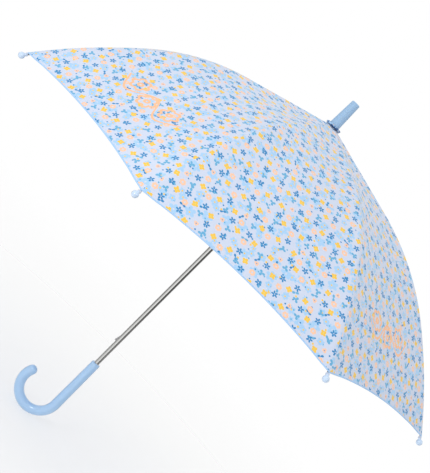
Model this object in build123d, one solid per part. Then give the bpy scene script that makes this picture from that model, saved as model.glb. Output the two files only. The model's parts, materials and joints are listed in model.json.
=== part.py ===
"""Children's stick umbrella, open, standing on its hook with the shaft along +Z.

Millimetres and degrees. The origin is on the shaft axis, level with the lowest point of
the hook, and the hook curls towards -X. Rib 1 lies at first_rib_azimuth and the others
follow anticlockwise, seen from above. Each named piece is written to one STEP file.
"""
from build123d import *
from math import asin, atan2, cos, degrees, hypot, pi, radians, sin, sqrt
import os

# ---------------------------------------------------------------- driving dimensions
rib_count = 8
first_rib_azimuth = -15.0

# ribs: pressed steel channels, straight near the crown and bent by the cloth further out
rib_length = 476.0
rib_hub_slope = 14.5              # below the horizontal
rib_straight = 144.0              # length that stays straight
rib_bend_length = 173.0           # length of the sharper bend that follows
rib_bend_slope = 39.0             # slope where the sharper bend ends
rib_end_slope = 50.0              # slope at the tip
rib_width = 2.2
rib_depth = 2.2
rib_wall = 0.45
rivet_along_rib = 226.0           # from the crown pivot to the stretcher's rivet

# stretchers: straight channels, forked round the rib
stretcher_depth = 2.4
stretcher_wall = 0.4
fork_length = 10.0                # the web stops this far short of the rivet
fork_nose = 1.35                  # radius of the ears round the rivet

# pivots in the crown notch and in the runner
pivot_radius = 9.0
pivot_wire_radius = 0.6
wire_fit = 0.08
channel_start = 5.0               # ribs and stretchers become channels this far out
blade_width = 1.2
blade_depth = 2.0
blade_overlap = 6.0               # how far a blade reaches into its channel
eye_radius = 1.5
flange_rim = 2.8                  # outside the wire's centre line
flange_closed_side = 2.0          # from the pivots to the face the blades turn from
flange_open_side = 3.5            # from the pivots to the face the blades turn to
rivet_radius = 0.7
rivet_fit = 0.05
rivet_head_radius = 1.2
rivet_head = 0.5

# shaft
shaft_radius = 4.0
shaft_wall = 0.7
shaft_into_handle = 73.0
shaft_into_ferrule = 30.0
socket_fit = 0.02                 # of the shaft in the handle, notch and ferrule

# runner and what stops it
runner_fit = 0.05
runner_wall = 1.0                 # outside the catches' key way
runner_length = 40.0              # below its pivots
collar_lip = 2.0                  # how far the collar stands out of the runner
collar_height = 5.0
window_below_pivots = 8.0
window_length = 12.0
stop_pin_radius = 0.8
stop_pin_reach = 2.0              # out of the shaft at each end
handle_to_closed_runner = 20.0    # at the least

# catches: sprung levers in slots of the shaft
catch_width = 1.6
catch_reach = 2.2                 # how far the nose stands out of the shaft
catch_nose = 2.0
catch_ramp = 12.0
catch_inner = 2.0                 # radius of the nose's inner face
catch_tail_radius = 1.05
catch_tail = 2.5                  # from the ramp's foot to the pin
catch_pin_radius = 0.6
catch_pin_fit = 0.06

# handle: straight grip and hook in one piece
hook_radius = 33.0                # of the centre line
hook_sweep = 204.0
hook_tube_radius = 7.9
grip_length = 92.0                # from the hook's centre level to the top
grip_top_radius = 7.3
grip_edge = 1.6

# ferrule and crown trim
ferrule_length = 50.0
ferrule_base_radius = 8.7
ferrule_tip_radius = 7.0
ferrule_edge = 1.8
patch_radius = 13.0
patch_thickness = 0.8
rosette_radius = 13.5
rosette_height = 4.3

# rib tips: a ball on a neck that holds the rib's end and the cloth's corner
ball_radius = 4.75
ball_past_rib = 4.0
neck_wall = 0.65
neck_length = 8.0
tip_fit = 0.05
closed_tip_radius = 17.5          # of the ball centres round the shaft when folded
handle_to_closed_tips = 37.0      # at the least

# cloth
cloth_thickness = 0.8
cloth_over_rib = 0.9
cloth_past_pivot = 3.6            # innermost cloth, outwards from the rib's pivot
cloth_to_neck = 0.4
scallop = 12.0                    # how far the hem curves in between two ribs
gore_dip = 4.5                    # how far the cloth dips between two ribs
panel_gap = 0.3                   # between canopy panels, at the middle of a gore
panel_stations = 9

# closing strap, stitched beside one rib at the back
strap_rib = 3
strap_width = 16.0
strap_length = 130.0
strap_thickness = 1.2
strap_from_hem = 24.0
strap_beside_rib = 6.0
strap_over_cloth = 0.4
stud_radius = 5.5
stud_height = 3.0
stud_from_end = 12.0
stud_gap = 0.05

gap = 0.3                         # between moving faces that are not a fit
cut = 1.0                         # how far a cutting body runs past what it cuts

# ---------------------------------------------------------------- derived sizes
rib_pitch = 360.0 / rib_count
stretches = [
    (rib_straight, rib_hub_slope, rib_hub_slope),
    (rib_bend_length, rib_hub_slope, rib_bend_slope),
    (rib_length - rib_straight - rib_bend_length, rib_bend_slope, rib_end_slope),
]


def rib_point(along, lift=0.0):
    """(radius, height) on a rib's centre line, or lifted off it. Heights count from the pivot."""
    r, z, left = pivot_radius, 0.0, along
    slope = radians(rib_hub_slope)
    for length, slope_in, slope_out in stretches:
        step = min(left, length)
        slope = radians(slope_in)
        turn = radians(slope_out - slope_in) * step / length
        if turn == 0:
            r += step * cos(slope)
            z -= step * sin(slope)
        else:
            bend = step / turn
            r += bend * (sin(slope + turn) - sin(slope))
            z -= bend * (cos(slope) - cos(slope + turn))
        slope += turn
        left -= step
        if left <= 0:
            break
    r += left * cos(slope)
    z -= left * sin(slope)
    return r + lift * sin(slope), z + lift * cos(slope)


def from_straight_down(point):
    """Angle at which a (radius, height) point is seen from the crown pivot."""
    return degrees(atan2(point[0] - pivot_radius, -point[1]))


rivet_point = rib_point(rivet_along_rib)
stretcher_length = hypot(rivet_point[0] - pivot_radius, rivet_point[1])
ball_along = rib_length + ball_past_rib
ball_point = rib_point(ball_along)
ball_reach = hypot(ball_point[0] - pivot_radius, ball_point[1])
closed_ball_angle = degrees(asin((closed_tip_radius - pivot_radius) / ball_reach))
fold_angle = from_straight_down(ball_point) - closed_ball_angle
open_spread = 2 * stretcher_length * cos(radians(from_straight_down(rivet_point)))
closed_spread = 2 * stretcher_length * cos(radians(from_straight_down(rivet_point) - fold_angle))

hook_level = hook_radius + hook_tube_radius
handle_top = hook_level + grip_length
crown_over_handle = max(
    handle_to_closed_tips + ball_reach * cos(radians(closed_ball_angle)),
    handle_to_closed_runner + runner_length + closed_spread,
)
crown = handle_top + crown_over_handle
runner_open = crown - open_spread
runner_closed = crown - closed_spread

patch_bottom = crown + flange_closed_side + gap
ferrule_bottom = patch_bottom + patch_thickness
shaft_bottom = handle_top - shaft_into_handle
shaft_top = ferrule_bottom + shaft_into_ferrule
shaft_bore = shaft_radius - shaft_wall
flange_radius = pivot_radius + flange_rim
stop_pin_length = 2 * (shaft_radius + stop_pin_reach)
neck_radius = hypot(rib_width, rib_depth) / 2 + neck_wall
stop_pin_level = runner_open + flange_open_side + gap + stop_pin_radius

catch_azimuth = first_rib_azimuth + rib_pitch * (rib_count // 2 + 0.5)
catch_tip_radius = shaft_radius + catch_reach
catch_way = catch_width + 2 * gap
runner_radius = catch_tip_radius + gap + runner_wall
collar_radius = runner_radius + collar_lip
catch_pin_at = shaft_bore - gap - catch_tail_radius
catch_pin_drop = catch_nose + catch_ramp + catch_tail
top_catch_level = runner_open - window_below_pivots - gap
bottom_catch_level = runner_closed - window_below_pivots - window_length + gap

slot_width = blade_width + 2 * gap
fork_gap = rib_width + 2 * gap
stretcher_width = fork_gap + 2 * stretcher_wall
cloth_low = rib_depth / 2 + cloth_over_rib
cloth_high = cloth_low + cloth_thickness
cloth_end = ball_along - neck_length - cloth_to_neck


# ---------------------------------------------------------------- helpers
def azimuth(rib):
    return first_rib_azimuth + rib_pitch * (rib - 1)


def turned(shape, angle):
    return Rot(0, 0, angle) * shape


def mirrored_about(level, shape):
    return mirror(shape, about=Plane.XY.offset(level))


def slab(edges, width):
    """The outline in the XZ plane, made width thick about that plane."""
    return extrude(Face(Wire(edges)), amount=width / 2, dir=(0, 1, 0), both=True)


def polygon(points, width):
    corners = [Vector(x, 0, z) for x, z in points]
    return slab([Line(a, b) for a, b in zip(corners, corners[1:] + corners[:1])], width)


def cross_rod(x, z, radius, length):
    """A rod parallel to Y, centred on the XZ plane."""
    return Pos(x, 0, z) * Rot(90, 0, 0) * Cylinder(radius, length)


def tube(bottom, top, outer, inner=0.0):
    middle = Pos(0, 0, (bottom + top) / 2)
    solid = middle * Cylinder(outer, top - bottom)
    if inner:
        solid -= middle * Cylinder(inner, top - bottom + 2 * cut)
    return solid


def block(x_in, x_out, width, bottom, top):
    centre = Pos((x_in + x_out) / 2, 0, (bottom + top) / 2)
    return centre * Box(x_out - x_in, width, top - bottom)


def rib_line(start, end, lift):
    """Edges of the line that runs along a rib at one lift, from one length to another."""
    edges, passed = [], 0.0
    for length, slope_in, slope_out in stretches:
        a, b = max(start, passed), min(end, passed + length)
        passed += length
        if b <= a:
            continue
        first, middle, last = [
            Vector(r, 0, crown + z) for r, z in (rib_point(s, lift) for s in (a, (a + b) / 2, b))
        ]
        straight = slope_in == slope_out
        edges.append(Line(first, last) if straight else ThreePointArc(first, middle, last))
    return edges


def rib_strip(start, end, low, high, width):
    upper = rib_line(start, end, high)
    lower = rib_line(start, end, low)
    ends = [Line(upper[0] @ 0, lower[0] @ 0), Line(upper[-1] @ 1, lower[-1] @ 1)]
    return slab(upper + lower + ends, width)


def flange(level, to_side):
    """A flange with radial slots for blades that turn to one side, and a groove for the wire."""
    near, far = level - to_side * flange_closed_side, level + to_side * flange_open_side
    bottom, top = min(near, far), max(near, far)
    solid = tube(bottom, top, flange_radius)
    slot_bottom = pivot_radius - eye_radius - gap
    for rib in range(1, rib_count + 1):
        slot = block(slot_bottom, flange_radius + cut, slot_width, bottom - cut, top + cut)
        solid -= turned(slot, azimuth(rib))
    return solid


def wire_groove(level):
    inner = pivot_radius - pivot_wire_radius
    return tube(level - pivot_wire_radius, level + pivot_wire_radius, flange_radius + cut, inner)


def blade(points, eye):
    """A flat blade of the given outline that ends in an eye round the wire."""
    return polygon(points, blade_width) + cross_rod(*eye, eye_radius, blade_width)


# ---------------------------------------------------------------- shaft and its fittings
def make_shaft():
    solid = tube(shaft_bottom, shaft_top, shaft_radius, shaft_bore)
    for step, down in ((top_catch_level, True), (bottom_catch_level, False)):
        slot = block(
            catch_inner, shaft_radius + cut, catch_way, step - catch_nose - catch_ramp + cut, step + cut
        )
        pin = cross_rod(catch_pin_at, step - catch_pin_drop, catch_pin_radius, 2 * shaft_radius)
        opening = slot + pin
        solid -= turned(opening if down else mirrored_about(step, opening), catch_azimuth)
    stop_hole = cross_rod(0, stop_pin_level, stop_pin_radius, stop_pin_length)
    return solid - turned(stop_hole, catch_azimuth)


def make_stop_pin():
    return turned(cross_rod(0, stop_pin_level, stop_pin_radius, stop_pin_length), catch_azimuth)


def make_catch(step, down):
    """A lever whose nose has its flat step at the given level and its ramp below it."""
    pin_level = step - catch_pin_drop
    ramp_foot = step - catch_nose - catch_ramp
    outline = [
        (catch_inner, step),
        (catch_tip_radius, step),
        (catch_tip_radius, step - catch_nose),
        (catch_pin_at + catch_tail_radius, ramp_foot),
        (catch_pin_at + catch_tail_radius, pin_level),
        (catch_pin_at - catch_tail_radius, pin_level),
        (catch_pin_at - catch_tail_radius, ramp_foot),
    ]
    solid = polygon(outline, catch_width)
    solid += cross_rod(catch_pin_at, pin_level, catch_tail_radius, catch_width)
    solid -= cross_rod(catch_pin_at, pin_level, catch_pin_radius + catch_pin_fit, catch_width + cut)
    return turned(solid if down else mirrored_about(step, solid), catch_azimuth)


def make_catch_pin(step, down):
    level = step - catch_pin_drop if down else step + catch_pin_drop
    half = sqrt(shaft_radius**2 - (catch_pin_at + catch_pin_radius) ** 2)
    return turned(cross_rod(catch_pin_at, level, catch_pin_radius, 2 * half), catch_azimuth)


def make_handle():
    middle = hook_level + grip_length / 2
    grip = Pos(0, 0, middle) * Cone(hook_tube_radius, grip_top_radius, grip_length)
    grip = fillet(grip.edges().group_by(Axis.Z)[-1], grip_edge)
    section = Pos(0, 0, hook_level) * Circle(hook_tube_radius)
    hook_axis = Axis((-hook_radius, 0, hook_level), (0, 1, 0))
    hook = revolve(section, axis=hook_axis, revolution_arc=hook_sweep)
    sweep = radians(hook_sweep)
    end = Pos(hook_radius * (cos(sweep) - 1), 0, hook_level - hook_radius * sin(sweep))
    solid = grip + hook + end * Sphere(hook_tube_radius)
    return solid - tube(shaft_bottom, handle_top + cut, shaft_radius + socket_fit)


def make_top_notch():
    solid = flange(crown, -1) - wire_groove(crown)
    bore = shaft_radius + socket_fit
    return solid - tube(crown - flange_open_side - cut, crown + flange_closed_side + cut, bore)


def make_pivot_wire(level):
    return Pos(0, 0, level) * Torus(pivot_radius, pivot_wire_radius)


def make_runner():
    bottom = runner_open - runner_length
    solid = flange(runner_open, 1) - wire_groove(runner_open)
    solid += tube(bottom, runner_open - flange_closed_side, runner_radius)
    collar = tube(bottom, bottom + collar_height, collar_radius)
    solid += fillet(collar.edges().filter_by(GeomType.CIRCLE), collar_height / 3)
    solid -= tube(bottom - cut, runner_open + flange_open_side + cut, shaft_radius + runner_fit)
    way_top = runner_open + flange_open_side + cut
    key_way = block(0, catch_tip_radius + gap, catch_way, bottom - cut, way_top)
    window_top = runner_open - window_below_pivots
    window = block(0, runner_radius + cut, catch_way, window_top - window_length, window_top)
    return solid - turned(key_way + window, catch_azimuth)


def make_ferrule():
    middle = ferrule_bottom + ferrule_length / 2
    solid = Pos(0, 0, middle) * Cone(ferrule_base_radius, ferrule_tip_radius, ferrule_length)
    solid = fillet(solid.edges().group_by(Axis.Z)[-1], ferrule_edge)
    return solid - tube(ferrule_bottom - cut, shaft_top, shaft_radius + socket_fit)


def make_crown_patch():
    return tube(patch_bottom, ferrule_bottom, patch_radius, shaft_radius + gap)


def make_crown_rosette():
    top = ferrule_bottom + rosette_height
    return tube(ferrule_bottom, top, rosette_radius, ferrule_base_radius + tip_fit)


# ---------------------------------------------------------------- ribs, tips, stretchers
def make_rib():
    half = rib_depth / 2
    solid = rib_strip(channel_start, rib_length, -half, half, rib_width)
    inner_width = rib_width - 2 * rib_wall
    solid -= rib_strip(channel_start - cut, rib_length + cut, -half - cut, half - rib_wall, inner_width)
    reach = channel_start + blade_overlap
    sides = blade_depth / 2
    outline = [rib_point(0, sides), rib_point(reach, sides), rib_point(reach, -sides), rib_point(0, -sides)]
    raised = [(r, crown + z) for r, z in outline]
    solid += blade(raised, (pivot_radius, crown))
    solid -= cross_rod(pivot_radius, crown, pivot_wire_radius + wire_fit, rib_width)
    x, z = rivet_point
    return solid - cross_rod(x, crown + z, rivet_radius + rivet_fit, rib_width + cut)


def make_rivet():
    x, z = rivet_point
    inner = stretcher_width / 2 + gap
    solid = cross_rod(x, crown + z, rivet_radius, 2 * inner)
    for side in (-1, 1):
        head = cross_rod(x, crown + z, rivet_head_radius, rivet_head)
        solid += Pos(0, side * (inner + rivet_head / 2), 0) * head
    return solid


def make_tip():
    along_rib = Pos(ball_point[0], 0, crown + ball_point[1]) * Rot(0, 90 + rib_end_slope, 0)
    neck = Pos(0, 0, -neck_length / 2) * Cylinder(neck_radius, neck_length)
    side = max(rib_width, rib_depth) + 2 * tip_fit
    socket_length = neck_length - ball_past_rib + cut
    socket = Pos(0, 0, -ball_past_rib - socket_length / 2) * Box(side, side, socket_length)
    return along_rib * (Sphere(ball_radius) + neck - socket)


def stretcher_frame():
    """Turns (along, up) of a stretcher into (x, z), counted from its runner pivot."""
    x = rivet_point[0] - pivot_radius
    z = crown + rivet_point[1] - runner_open
    along = (x / stretcher_length, z / stretcher_length)

    def place(a, up):
        across = (-along[1], along[0])
        return (
            pivot_radius + a * along[0] + up * across[0],
            runner_open + a * along[1] + up * across[1],
        )

    return place


def make_stretcher():
    place = stretcher_frame()

    def bar(start, end, low, high, width):
        return polygon([place(start, high), place(end, high), place(end, low), place(start, low)], width)

    half = stretcher_depth / 2
    past_end = stretcher_length + 2 * fork_nose
    solid = bar(channel_start, stretcher_length, -half, half, stretcher_width)
    solid += cross_rod(*place(stretcher_length, 0), fork_nose, stretcher_width)
    solid -= bar(channel_start - cut, past_end, stretcher_wall - half, half + cut, fork_gap)
    solid -= bar(stretcher_length - fork_length, past_end, -half - cut, half + cut, fork_gap)
    sides = blade_depth / 2
    reach = channel_start + blade_overlap
    outline = [place(0, sides), place(reach, sides), place(reach, -sides), place(0, -sides)]
    solid += blade(outline, place(0, 0))
    solid -= cross_rod(*place(0, 0), pivot_wire_radius + wire_fit, stretcher_width)
    hole = rivet_radius + rivet_fit
    return solid - cross_rod(*place(stretcher_length, 0), hole, stretcher_width + cut)


# ---------------------------------------------------------------- cloth
def cloth_point(share, across, lift):
    """A point of the cloth beside the rib that lies along +X.

    share runs from the innermost cloth to the hem, and across from this rib (0) to the
    next one (1, or -1 on the other side).
    """
    side = 1 if across >= 0 else -1
    across = abs(across)
    between = 4 * across * (1 - across)
    span = cloth_end - cloth_past_pivot
    r, z = rib_point(cloth_past_pivot + share * (span - scallop * between), lift)
    pitch = radians(rib_pitch)
    x = r * (1 - across + across * cos(pitch))
    y = r * across * sin(pitch)
    out = hypot(x, y)
    dip = gore_dip * between * sin(pi * share)
    scale = (out - dip / 2) / out
    return Vector(x * scale, side * y * scale, crown + z - dip)


def cloth_section(across):
    shares = [i / (panel_stations - 1) for i in range(panel_stations)]
    low = [cloth_point(s, across, cloth_low) for s in shares]
    high = [cloth_point(s, across, cloth_high) for s in shares]
    sides = [Line(low[0], high[0]), Line(low[-1], high[-1])]
    return Face(Wire([Spline(*low), Spline(*high)] + sides))


def make_canopy_panel():
    """The cloth from the middle of one gore over the rib to the middle of the next."""
    sections = []
    for across in (-0.5, -0.25, 0.0, 0.25, 0.5):
        section = cloth_section(across)
        if abs(across) == 0.5:
            side = 1 if across > 0 else -1
            back = radians(90 + side * rib_pitch / 2)
            shift = -side * panel_gap / 2
            section = Pos(shift * cos(back), shift * sin(back), 0) * section
        sections.append(section)
    return loft(sections, ruled=True)


def strap_direction():
    """Unit vector from a rib that lies along +X towards the next one, at one height."""
    turn = radians(90 + rib_pitch / 2)
    return Vector(cos(turn), sin(turn), 0)


def make_closing_strap():
    end = cloth_end - strap_from_hem
    low = cloth_high + strap_over_cloth
    high = low + strap_thickness
    upper = rib_line(end - strap_length, end, high)
    lower = rib_line(end - strap_length, end, low)
    ends = [Line(upper[0] @ 0, lower[0] @ 0), Line(upper[-1] @ 1, lower[-1] @ 1)]
    face = Face(Wire(upper + lower + ends))
    band = extrude(face, amount=strap_width, dir=strap_direction())
    return Pos(*(strap_beside_rib * strap_direction())) * band


def make_strap_stud():
    along = cloth_end - strap_from_hem - stud_from_end
    base = cloth_high + strap_over_cloth + strap_thickness
    r, z = rib_point(along, base)
    side = strap_direction() * (strap_beside_rib + strap_width / 2)
    before, after = rib_point(along - cut), rib_point(along + cut)
    slope = atan2(before[1] - after[1], after[0] - before[0])
    forward = Vector(cos(slope), 0, -sin(slope))
    normal = forward.cross(strap_direction())
    centre = Vector(r, 0, crown + z) + side + normal * (stud_height / 2 + stud_gap)
    frame = Plane(origin=centre, x_dir=strap_direction(), z_dir=normal)
    return frame * Cylinder(stud_radius, stud_height)


# ---------------------------------------------------------------- the pieces
def build():
    pieces = {
        "shaft": make_shaft(),
        "handle": make_handle(),
        "top_notch": make_top_notch(),
        "top_notch_wire": make_pivot_wire(crown),
        "ferrule": make_ferrule(),
        "crown_patch": make_crown_patch(),
        "crown_rosette": make_crown_rosette(),
        "stop_pin": make_stop_pin(),
        "runner": make_runner(),
        "runner_wire": make_pivot_wire(runner_open),
        "top_catch": make_catch(top_catch_level, True),
        "top_catch_pin": make_catch_pin(top_catch_level, True),
        "bottom_catch": make_catch(bottom_catch_level, False),
        "bottom_catch_pin": make_catch_pin(bottom_catch_level, False),
        "closing_strap": turned(make_closing_strap(), azimuth(strap_rib)),
        "strap_stud": turned(make_strap_stud(), azimuth(strap_rib)),
    }
    repeated = {
        "rib": make_rib(),
        "rib_tip": make_tip(),
        "rib_rivet": make_rivet(),
        "stretcher": make_stretcher(),
        "canopy_panel": make_canopy_panel(),
    }
    for name, shape in repeated.items():
        for rib in range(1, rib_count + 1):
            pieces[f"{name}_{rib}"] = turned(shape, azimuth(rib))
    return pieces


os.makedirs("parts", exist_ok=True)
for name, shape in build().items():
    export_step(shape, f"parts/{name}.step")

print(f"fold {fold_angle:.4f} deg, stretcher {stretcher_length:.3f} mm")
print(f"crown {crown:.3f}, runner {runner_open:.3f} open and {runner_closed:.3f} closed")
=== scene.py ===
"""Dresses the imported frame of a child's stick umbrella and sets it on a plain stage.

Lengths are in metres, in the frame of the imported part: +Z runs up the shaft from the hook to the
ferrule, the hook curls to -X, and rib 1 lies 15 degrees from +X towards -Y.
"""
import json
from math import atan2, cos, exp, hypot, pi, radians, sin

import bpy
from bpy.props import FloatProperty, FloatVectorProperty, IntProperty, PointerProperty
from mathutils import Matrix, Vector


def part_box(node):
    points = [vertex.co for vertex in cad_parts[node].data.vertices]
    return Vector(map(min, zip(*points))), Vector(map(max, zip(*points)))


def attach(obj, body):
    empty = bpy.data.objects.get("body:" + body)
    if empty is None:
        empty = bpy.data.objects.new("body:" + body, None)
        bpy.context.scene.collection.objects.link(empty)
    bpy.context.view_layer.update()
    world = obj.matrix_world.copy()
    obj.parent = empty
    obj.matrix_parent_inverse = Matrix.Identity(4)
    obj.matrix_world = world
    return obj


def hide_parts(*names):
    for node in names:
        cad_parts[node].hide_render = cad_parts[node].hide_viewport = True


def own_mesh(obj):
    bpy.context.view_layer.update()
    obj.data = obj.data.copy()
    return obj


bl_info = {
    "name": "Child's Stick Umbrella",
    "version": (1, 0, 0),
    "blender": (4, 5, 0),
    "location": "3D View > Sidebar > Umbrella",
    "description": "Dresses the umbrella's frame in printed cloth and finishes, and sets the stage",
    "category": "Object",
}

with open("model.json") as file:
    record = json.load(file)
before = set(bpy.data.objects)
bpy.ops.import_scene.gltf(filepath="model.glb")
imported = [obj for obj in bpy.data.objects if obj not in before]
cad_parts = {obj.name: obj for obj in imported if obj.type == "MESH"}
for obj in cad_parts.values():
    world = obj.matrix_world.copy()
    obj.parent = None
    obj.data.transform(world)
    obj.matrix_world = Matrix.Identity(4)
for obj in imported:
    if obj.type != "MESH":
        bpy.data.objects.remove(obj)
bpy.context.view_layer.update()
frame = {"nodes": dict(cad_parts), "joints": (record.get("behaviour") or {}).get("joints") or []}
NODES = frame["nodes"]
JOINTS = {joint["name"]: joint for joint in frame["joints"]}

MM = 0.001


def colour(red, green, blue):
    """Linear colour of a screen colour given from 0 to 255."""
    def linear(part):
        share = part / 255
        return share / 12.92 if share <= 0.04045 else ((share + 0.055) / 1.055) ** 2.4

    return (linear(red), linear(green), linear(blue))


# ---------------------------------------------------------------- what the frame gives
RIBS = range(1, 1 + sum(name.endswith("_fold") for name in JOINTS))
PITCH = 2 * pi / len(RIBS)
FIRST_PIVOT = Vector(JOINTS["rib_1_fold"]["pos_m"])
PIVOT_RADIUS = hypot(FIRST_PIVOT.x, FIRST_PIVOT.y)
CROWN = FIRST_PIVOT.z
FIRST_AZIMUTH = atan2(FIRST_PIVOT.y, FIRST_PIVOT.x)
FERRULE_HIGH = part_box("ferrule")[1]
PATCH_LOW, PATCH_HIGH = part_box("crown_patch")
ROSETTE_LOW, ROSETTE_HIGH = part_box("crown_rosette")

# each rib's line: length, slope below the horizontal where it starts, and where it ends
RIB_STRETCHES = ((0.144, 14.5, 14.5), (0.173, 14.5, 39.0), (0.159, 39.0, 50.0))
# lengths along a rib, from the crown pivot
BALL_ALONG = 0.480
NECK_LENGTH = 8 * MM
CLOTH_START = 3.6 * MM
CLOTH_END = 0.4716
CLOTH_TIES = (0.135, 0.330)
LAST_SLOPE = 0.470                # a thread wound past here takes the slope that the rib has here
CLOTH_LIFT = 2.45 * MM            # from a rib's centre line to the middle of the cloth
STRAP_RIB = 3
# gores with the outline daisies, each between the rib of that number and the next, and how far down
ORNAMENT_GORES = (2, 4, 6, 8)
ORNAMENT_ALONG = 0.366
THREAD = 0.9 * MM                 # from one thread of the cloth to the next but one
CAMERA_SHIFT = (-0.0103, 0.0074)  # right and up, as shares of the frame's longer side


def azimuth(rib):
    return FIRST_AZIMUTH + PITCH * (rib - 1)


def rib_point(along, lift=0.0):
    """(radius, height above the pivots) on a rib's centre line, or lifted off it."""
    radius, height, left = PIVOT_RADIUS, 0.0, along
    slope = radians(RIB_STRETCHES[0][1])
    for length, slope_in, slope_out in RIB_STRETCHES:
        step = min(left, length)
        slope = radians(slope_in)
        turn = radians(slope_out - slope_in) * step / length
        if turn == 0:
            radius += step * cos(slope)
            height -= step * sin(slope)
        else:
            bend = step / turn
            radius += bend * (sin(slope + turn) - sin(slope))
            height -= bend * (cos(slope) - cos(slope + turn))
        slope += turn
        left -= step
        if left <= 0:
            break
    radius += left * cos(slope)
    height -= left * sin(slope)
    return radius + lift * sin(slope), height + lift * cos(slope)


def rib_place(rib, along, lift=0.0, aside=0.0):
    """A point beside a rib's line, in the frame."""
    radius, height = rib_point(along, lift)
    turn = Matrix.Rotation(azimuth(rib), 3, "Z")
    return turn @ Vector((radius, aside, CROWN + height))


def rib_slope(along):
    ahead, behind = rib_point(along + MM), rib_point(along - MM)
    return atan2(behind[1] - ahead[1], ahead[0] - behind[0])


# ---------------------------------------------------------------- settings
class UmbrellaCloth(bpy.types.PropertyGroup):
    scallop: FloatProperty(
        name="Scallop", description="How far the hem curves in between two ribs",
        default=12 * MM, unit="LENGTH")
    dip: FloatProperty(
        name="Dip", description="How far the cloth dips between two ribs",
        default=4.5 * MM, unit="LENGTH")
    pucker: FloatProperty(
        name="Pucker", description="Depth of the small creases beside the seams",
        default=0.5 * MM, unit="LENGTH")
    swell: FloatProperty(
        name="Swell", description="Height of the slack waves near the hem",
        default=1.3 * MM, unit="LENGTH")
    thickness: FloatProperty(
        name="Thickness", description="Thickness of the cloth",
        default=0.35 * MM, unit="LENGTH")
    columns: IntProperty(
        name="Columns", description="Faces across one kite of cloth, an even number", default=40)
    rows: IntProperty(
        name="Rows", description="Faces from the crown to the hem", default=60)


class UmbrellaPrint(bpy.types.PropertyGroup):
    ground: FloatVectorProperty(
        name="Ground", description="Colour of the cloth under the print",
        subtype="COLOR", default=colour(209, 219, 239))
    deep: FloatVectorProperty(
        name="Deep Blue", description="Colour of the star flowers",
        subtype="COLOR", default=colour(46, 138, 198))
    middle: FloatVectorProperty(
        name="Middle Blue", description="Colour of the leaves",
        subtype="COLOR", default=colour(104, 178, 220))
    pale: FloatVectorProperty(
        name="Pale Blue", description="Colour of the large faint flowers",
        subtype="COLOR", default=colour(172, 212, 247))
    yellow: FloatVectorProperty(
        name="Yellow", description="Colour of the four-petal flowers",
        subtype="COLOR", default=colour(252, 204, 78))
    peach: FloatVectorProperty(
        name="Peach", description="Colour of the ring flowers",
        subtype="COLOR", default=colour(254, 206, 174))
    drawing: FloatVectorProperty(
        name="Drawing", description="Colour of the outline daisies",
        subtype="COLOR", default=colour(255, 196, 152))
    pitch: FloatProperty(
        name="Pitch", description="From one flower to the next along a row",
        default=14.8 * MM, unit="LENGTH")
    row: FloatProperty(
        name="Row", description="From one row of flowers to the next",
        default=12.8 * MM, unit="LENGTH")


class UmbrellaTrim(bpy.types.PropertyGroup):
    hem_colour: FloatVectorProperty(
        name="Hem", description="Colour of the binding along the hem",
        subtype="COLOR", default=colour(172, 209, 248))
    handle_colour: FloatVectorProperty(
        name="Handle", description="Colour of the handle's plastic",
        subtype="COLOR", default=colour(172, 207, 242))
    ferrule_colour: FloatVectorProperty(
        name="Ferrule", description="Colour of the ferrule's plastic",
        subtype="COLOR", default=colour(160, 194, 226))
    ball_colour: FloatVectorProperty(
        name="Rib Tips", description="Colour of the balls on the rib tips",
        subtype="COLOR", default=colour(204, 224, 248))
    rosette_colour: FloatVectorProperty(
        name="Rosette", description="Colour of the gathered cloth round the ferrule",
        subtype="COLOR", default=colour(44, 92, 148))
    hem_width: FloatProperty(
        name="Hem Width", description="How much of the hem's binding shows on top",
        default=1.5 * MM, unit="LENGTH")
    pleats: IntProperty(
        name="Pleats", description="Gathers round the rosette", default=13)


class UmbrellaStage(bpy.types.PropertyGroup):
    distance: FloatProperty(
        name="Camera Distance", description="From the camera to the shaft",
        default=1.7785, unit="LENGTH")
    aim_below_crown: FloatProperty(
        name="Aim", description="How far below the rib pivots the camera looks",
        default=0.2357, unit="LENGTH")
    tilt: FloatProperty(
        name="Tilt", description="How far the camera looks down",
        default=radians(5.72), subtype="ANGLE")
    roll: FloatProperty(
        name="Roll", description="How far the camera leans over",
        default=radians(45.02), subtype="ANGLE")
    lens: FloatProperty(
        name="Lens", description="Focal length for a 36 mm sensor, in millimetres", default=89.52)
    key_power: FloatProperty(
        name="Key Light", description="Power of the main soft light, in watts", default=0.8)
    strip_power: FloatProperty(
        name="Strip Light", description="Power of the narrow light that glints on plastic, in watts",
        default=4.2)
    sky: FloatProperty(
        name="Sky", description="Strength of the even light from all round", default=0.89)


SETTINGS = {
    "umbrella_cloth": UmbrellaCloth,
    "umbrella_print": UmbrellaPrint,
    "umbrella_trim": UmbrellaTrim,
    "umbrella_stage": UmbrellaStage,
}


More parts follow.
